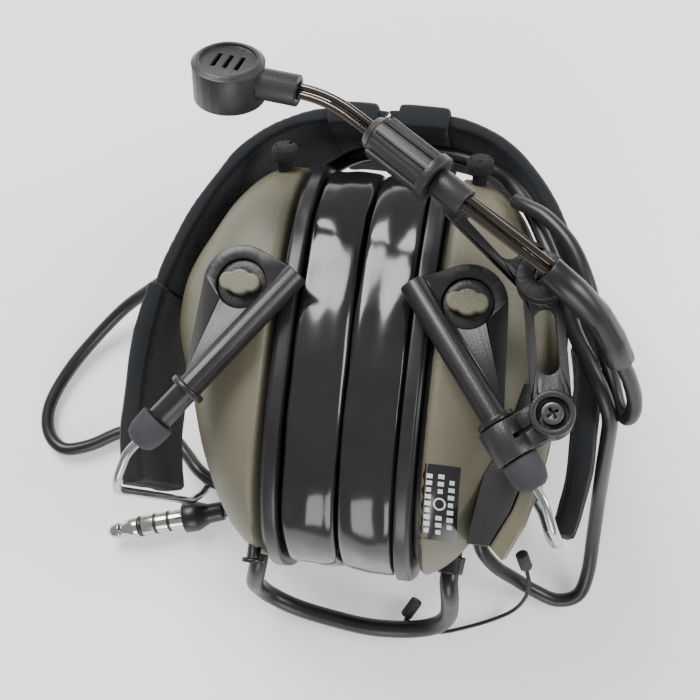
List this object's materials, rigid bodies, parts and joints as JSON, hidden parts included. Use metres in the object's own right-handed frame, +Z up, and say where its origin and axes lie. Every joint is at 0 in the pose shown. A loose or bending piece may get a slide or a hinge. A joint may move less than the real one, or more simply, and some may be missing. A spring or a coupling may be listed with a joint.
{
  "type": "folded radio headset",
  "caption": "Folded communications headset: two olive ear cups closed face to face inside a sprung headband, with wire guides, a jointed boom microphone and leads.",
  "frame": {"origin": "middle of the headset's outline on the surface that it lies on, measured without the leads", "axes": "+X across the head towards the right ear, +Y from the open end towards the crown of the band, +Z up, out of the front of the headset, which lies on its rear guides"},
  "size_m": [0.1893, 0.1491, 0.1193],
  "materials": {
    "olive_shell": "fine moulded texture, slightly worn",
    "rim_black": "satin black",
    "gel_cushion": "glossy black film over gel",
    "black_plastic": "fine moulded texture",
    "guide_black": "satin black with brown highlights",
    "cap_rubber": "dusty rubber",
    "foam": "open-cell foam",
    "band_cloth": "ribbed cloth wrap",
    "spring_steel": "drawn wire",
    "screw_steel": "machined",
    "rod_steel": "gunmetal plating",
    "lead_rubber": "smooth jacket",
    "board": "solder mask",
    "cell": "wrapped cell",
    "plug_metal": "polished contact",
    "driver_black": "moulded frame",
    "capsule_metal": "drawn can"
  },
  "bodies": {
    "left_side": {"left_band": "band_cloth", "crown_pin": "spring_steel", "left_spring_strips": "spring_steel", "left_stirrup": "spring_steel", "left_end_sleeve": "band_cloth", "left_crown_pad": "band_cloth", "link_lead": "lead_rubber", "plug_lead": "lead_rubber", "plug_boot": "lead_rubber", "plug_body": "plug_metal"},
    "right_arm": {"right_band": "band_cloth", "right_spring_strips": "spring_steel", "right_stirrup": "spring_steel", "right_end_sleeve": "band_cloth", "right_crown_pad": "band_cloth"},
    "left_guides": {"left_front_guide": "guide_black", "left_rear_guide": "guide_black", "left_guide_caps": "cap_rubber"},
    "right_guides": {"right_front_guide": "guide_black", "right_rear_guide": "guide_black", "right_guide_caps": "cap_rubber"},
    "left_cup": {"left_shell": "olive_shell", "left_rim": "rim_black", "left_baffle": "driver_black", "left_driver": "driver_black", "left_foam_liner": "foam", "left_cushion": "gel_cushion", "left_pivot_seats": "black_plastic", "left_knobs": "olive_shell", "left_foam_mic": "foam", "left_lead_gland": "lead_rubber", "left_jack_cap": "lead_rubber"},
    "right_cup": {"right_shell": "olive_shell", "right_rim": "rim_black", "right_baffle": "driver_black", "right_driver": "driver_black", "right_cushion": "gel_cushion", "right_pivot_seats": "black_plastic", "right_knobs": "olive_shell", "right_foam_mic": "foam", "right_lead_glands": "lead_rubber", "circuit_board": "board", "battery_cells": "cell", "battery_housing": "black_plastic", "mic_lead": "lead_rubber", "tether": "lead_rubber", "tether_caps": "cap_rubber"},
    "battery_door": {"battery_door": "olive_shell"},
    "power_button": {"power_button": "black_plastic"},
    "volume_up_button": {"volume_up_button": "black_plastic"},
    "volume_down_button": {"volume_down_button": "black_plastic"},
    "mic_bracket": {"clamp_bracket": "black_plastic", "clamp_screw": "screw_steel", "elbow_rivet": "black_plastic"},
    "mic_arm": {"upper_link": "black_plastic"},
    "mic_boom": {"boom_rods": "rod_steel", "mic_head": "black_plastic", "mic_capsule": "capsule_metal", "boom_tail_sleeve": "lead_rubber"},
    "collet_nut": {"collet_nut": "black_plastic"}
  },
  "joints": [
    {"name": "band_open", "type": "hinge", "parent": "left_side", "child": "right_arm", "pos_m": [0, 0.0609, 0.048], "axis": [0, 0, 1], "range_deg": [0, 25], "stiffness_Nm_per_rad": 1.2, "deforming": ["link_lead", "plug_lead"]},
    {"name": "left_height", "type": "slide", "parent": "left_side", "child": "left_guides", "axis": [-0.6, -0.8, 0], "range_m": [0, 0.0015], "deforming": ["link_lead"]},
    {"name": "right_height", "type": "slide", "parent": "right_arm", "child": "right_guides", "axis": [0.6, -0.8, 0], "range_m": [0, 0.0015], "deforming": ["link_lead", "plug_lead"]},
    {"name": "left_tilt", "type": "hinge", "parent": "left_guides", "child": "left_cup", "pos_m": [-0.029, 0.0055, 0.048], "axis": [0, 0, 1], "range_deg": [-4, 1], "deforming": ["link_lead"]},
    {"name": "right_tilt", "type": "hinge", "parent": "right_guides", "child": "right_cup", "pos_m": [0.029, 0.0055, 0.048], "axis": [0, 0, 1], "range_deg": [-1, 4], "deforming": ["link_lead", "plug_lead"]},
    {"name": "battery_door_slide", "type": "slide", "parent": "right_cup", "child": "battery_door", "axis": [0, -1, 0], "range_m": [0, 0.008]},
    {"name": "power_button_press", "type": "slide", "parent": "right_cup", "child": "power_button", "axis": [0, 0, 1], "range_m": [0, 0.0012], "stiffness_N_per_m": 400},
    {"name": "volume_up_button_press", "type": "slide", "parent": "right_cup", "child": "volume_up_button", "axis": [0, 0, 1], "range_m": [0, 0.0012], "stiffness_N_per_m": 400},
    {"name": "volume_down_button_press", "type": "slide", "parent": "right_cup", "child": "volume_down_button", "axis": [0, 0, 1], "range_m": [0, 0.0012], "stiffness_N_per_m": 400},
    {"name": "mic_swing", "type": "hinge", "parent": "right_guides", "child": "mic_bracket", "pos_m": [0.04204, -0.02722, 0.0912], "axis": [0.6, -0.8, 0], "range_deg": [-4, 20], "deforming": ["mic_lead"]},
    {"name": "mic_elbow", "type": "hinge", "parent": "mic_bracket", "child": "mic_arm", "pos_m": [0.0465, 0.01093, 0.097], "axis": [0, 0, 1], "range_deg": [-15, 60], "deforming": ["mic_lead"]},
    {"name": "boom_slide", "type": "slide", "parent": "mic_arm", "child": "mic_boom", "axis": [-0.831, 0.5563, 0], "range_m": [-0.006, 0.001], "deforming": ["mic_lead"]},
    {"name": "collet_turn", "type": "hinge", "parent": "mic_arm", "child": "collet_nut", "pos_m": [0.0479, 0.01143, 0.1105], "axis": [-0.831, 0.5563, 0], "range_deg": [-90, 90]}
  ],
  "couplings": [
    {"joint": "left_tilt", "follows": "band_open", "ratio": -0.12},
    {"joint": "right_tilt", "follows": "band_open", "ratio": 0.12}
  ]
}
